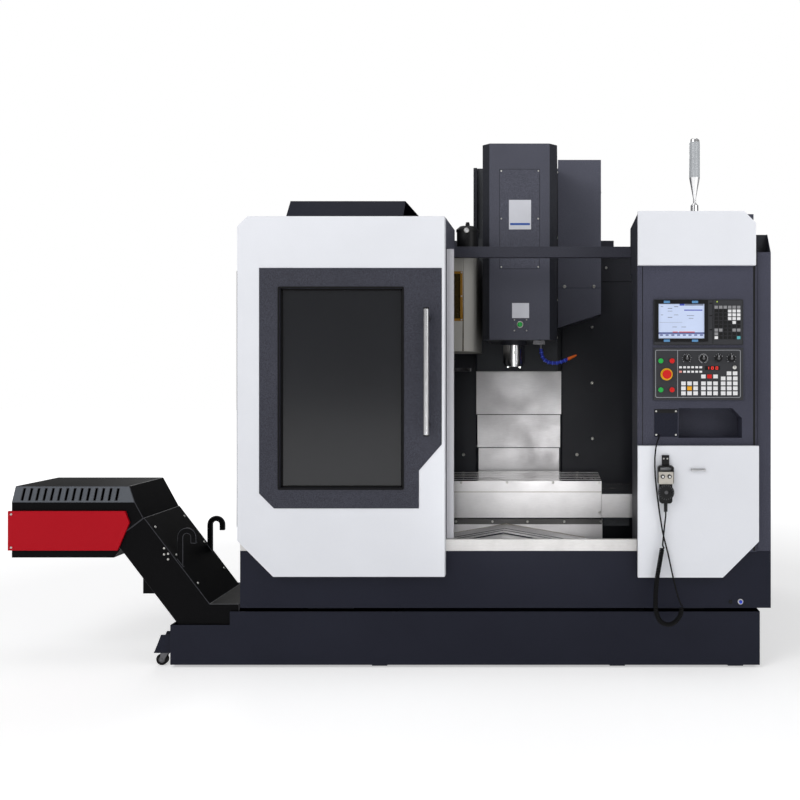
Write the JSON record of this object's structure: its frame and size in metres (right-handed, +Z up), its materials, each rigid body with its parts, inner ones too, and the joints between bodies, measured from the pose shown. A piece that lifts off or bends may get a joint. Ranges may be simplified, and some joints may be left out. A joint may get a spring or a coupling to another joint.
{
  "type": "cnc machining center",
  "caption": "Vertical machining centre with sliding door, control cabinet, T-slot table, tool carousel, coolant tank and side-discharging chip conveyor.",
  "frame": {"origin": "middle of the footprint on the floor, from the chip conveyor's end to the right wall", "axes": "+X to the right seen from the operator, +Y to the back, +Z up"},
  "size_m": [3.438, 2.4395, 2.56],
  "materials": {
    "white_paint": "satin",
    "dark_paint": "fine texture",
    "navy_paint": "fine texture",
    "black_paint": "fine texture",
    "red_paint": "satin",
    "stainless": "brushed",
    "cast_iron": "painted",
    "machined_steel": "machined",
    "window_glass": "gloss",
    "grey_plastic": "matte",
    "black_plastic": "matte",
    "red_plastic": "gloss",
    "green_plastic": "gloss",
    "pale_plastic": "gloss",
    "blue_plastic": "gloss",
    "black_rubber": "matte"
  },
  "bodies": {
    "machine": {"bed": "cast_iron", "column": "cast_iron", "column_side_cover": "dark_paint", "rear_cabinet": "dark_paint", "coolant_tank": "navy_paint", "chip_pan": "stainless", "front_apron": "navy_paint", "door_sill": "stainless", "left_front_panel": "dark_paint", "side_walls": "dark_paint", "rear_splash_walls": "dark_paint", "roof_hood": "dark_paint", "header_beam": "dark_paint", "control_cabinet": "dark_paint", "white_front_panels": "white_paint", "display_unit": "grey_plastic", "operator_panel": "grey_plastic", "signal_light": "pale_plastic", "magazine_cover": "white_paint", "oil_canister": "black_paint", "conveyor_housing": "black_paint", "discharge_hood": "black_paint", "discharge_panel": "red_paint", "conveyor_belt": "machined_steel", "pendant_body": "grey_plastic", "pendant_cord": "black_rubber", "pendant_cord_curl": "black_rubber"},
    "door": {"door_panel": "white_paint", "door_fascia": "dark_paint", "door_glass": "window_glass", "door_handle": "stainless"},
    "head": {"head_casting": "cast_iron", "head_cover": "dark_paint", "spindle_cartridge": "stainless", "coolant_hose": "blue_plastic", "z_cover_upper": "stainless"},
    "spindle": {"spindle": "stainless"},
    "z_middle": {"z_cover_middle": "stainless"},
    "z_lower": {"z_cover_lower": "stainless"},
    "saddle": {"saddle": "cast_iron", "y_cover_rear": "stainless"},
    "y_middle": {"y_cover_middle": "stainless"},
    "table": {"table": "stainless"},
    "x_inner": {"x_covers_inner": "stainless"},
    "carriage": {"magazine_carriage": "machined_steel"},
    "carousel": {"tool_carousel": "machined_steel"},
    "stop_button": {"stop_button": "red_plastic"},
    "pendant_wheel": {"pendant_wheel": "black_plastic"},
    "fork_front": {"caster_fork_front": "machined_steel"},
    "wheel_front": {"caster_wheel_front": "black_rubber"},
    "fork_rear": {"caster_fork_rear": "machined_steel"},
    "wheel_rear": {"caster_wheel_rear": "black_rubber"},
    "button_1": {"button_1": "green_plastic"},
    "knob_1": {"knob_1": "black_plastic"},
    "button_2": {"button_2": "red_plastic"},
    "knob_2": {"knob_2": "black_plastic"},
    "button_3": {"button_3": "green_plastic"},
    "knob_3": {"knob_3": "black_plastic"},
    "button_4": {"button_4": "red_plastic"},
    "knob_4": {"knob_4": "black_plastic"}
  },
  "joints": [
    {"name": "door_slide", "type": "slide", "parent": "machine", "child": "door", "axis": [1, 0, 0], "range_m": [0, 0.85]},
    {"name": "table_x", "type": "slide", "parent": "saddle", "child": "table", "axis": [1, 0, 0], "range_m": [-0.356, 0.444]},
    {"name": "saddle_y", "type": "slide", "parent": "machine", "child": "saddle", "axis": [0, 1, 0], "range_m": [-0.25, 0.25]},
    {"name": "head_z", "type": "slide", "parent": "machine", "child": "head", "axis": [0, 0, 1], "range_m": [-0.463, 0.087]},
    {"name": "spindle_turn", "type": "hinge", "parent": "head", "child": "spindle", "pos_m": [0.52697, -0.32025, 1.366], "axis": [0, 0, 1], "continuous": true},
    {"name": "z_cover_middle_slide", "type": "slide", "parent": "machine", "child": "z_middle", "axis": [0, 0, 1], "range_m": [-0.31, 0.059]},
    {"name": "z_cover_lower_slide", "type": "slide", "parent": "machine", "child": "z_lower", "axis": [0, 0, 1], "range_m": [-0.155, 0.03]},
    {"name": "y_cover_middle_slide", "type": "slide", "parent": "machine", "child": "y_middle", "axis": [0, 1, 0], "range_m": [-0.125, 0.125]},
    {"name": "x_covers_slide", "type": "slide", "parent": "saddle", "child": "x_inner", "axis": [1, 0, 0], "range_m": [-0.178, 0.222]},
    {"name": "magazine_slide", "type": "slide", "parent": "machine", "child": "carriage", "axis": [1, 0, 0], "range_m": [0, 0.25]},
    {"name": "carousel_turn", "type": "hinge", "parent": "carriage", "child": "carousel", "pos_m": [0.02697, -0.32025, 1.34], "axis": [0, 0, 1], "continuous": true},
    {"name": "stop_push", "type": "slide", "parent": "machine", "child": "stop_button", "axis": [0, 1, 0], "range_m": [0, 0.004], "stiffness_N_per_m": 2000},
    {"name": "button_1_push", "type": "slide", "parent": "machine", "child": "button_1", "axis": [0, 1, 0], "range_m": [0, 0.0025], "stiffness_N_per_m": 1500},
    {"name": "button_2_push", "type": "slide", "parent": "machine", "child": "button_2", "axis": [0, 1, 0], "range_m": [0, 0.0025], "stiffness_N_per_m": 1500},
    {"name": "button_3_push", "type": "slide", "parent": "machine", "child": "button_3", "axis": [0, 1, 0], "range_m": [0, 0.0025], "stiffness_N_per_m": 1500},
    {"name": "button_4_push", "type": "slide", "parent": "machine", "child": "button_4", "axis": [0, 1, 0], "range_m": [0, 0.0025], "stiffness_N_per_m": 1500},
    {"name": "knob_1_turn", "type": "hinge", "parent": "machine", "child": "knob_1", "pos_m": [1.33747, -1.13825, 1.395], "axis": [0, 1, 0], "range_deg": [-135, 135]},
    {"name": "knob_2_turn", "type": "hinge", "parent": "machine", "child": "knob_2", "pos_m": [1.41147, -1.13825, 1.395], "axis": [0, 1, 0], "range_deg": [-135, 135]},
    {"name": "knob_3_turn", "type": "hinge", "parent": "machine", "child": "knob_3", "pos_m": [1.47847, -1.13825, 1.395], "axis": [0, 1, 0], "range_deg": [-135, 135]},
    {"name": "knob_4_turn", "type": "hinge", "parent": "machine", "child": "knob_4", "pos_m": [1.53647, -1.13825, 1.395], "axis": [0, 1, 0], "range_deg": [-135, 135]},
    {"name": "handwheel_turn", "type": "hinge", "parent": "machine", "child": "pendant_wheel", "pos_m": [1.23897, -1.19225, 0.805], "axis": [0, 1, 0], "continuous": true},
    {"name": "caster_front_swivel", "type": "hinge", "parent": "machine", "child": "fork_front", "pos_m": [-1.02703, -1.04025, 0.06], "axis": [0, 0, 1], "continuous": true},
    {"name": "caster_front_roll", "type": "hinge", "parent": "fork_front", "child": "wheel_front", "pos_m": [-1.04103, -1.04025, 0.026], "axis": [0, 1, 0], "continuous": true},
    {"name": "caster_rear_swivel", "type": "hinge", "parent": "machine", "child": "fork_rear", "pos_m": [-1.02703, -0.30025, 0.06], "axis": [0, 0, 1], "continuous": true},
    {"name": "caster_rear_roll", "type": "hinge", "parent": "fork_rear", "child": "wheel_rear", "pos_m": [-1.04103, -0.30025, 0.026], "axis": [0, 1, 0], "continuous": true}
  ],
  "couplings": [
    {"joint": "z_cover_middle_slide", "follows": "head_z", "ratio": 0.66667},
    {"joint": "z_cover_lower_slide", "follows": "head_z", "ratio": 0.33333},
    {"joint": "y_cover_middle_slide", "follows": "saddle_y", "ratio": 0.5},
    {"joint": "x_covers_slide", "follows": "table_x", "ratio": 0.5}
  ]
}
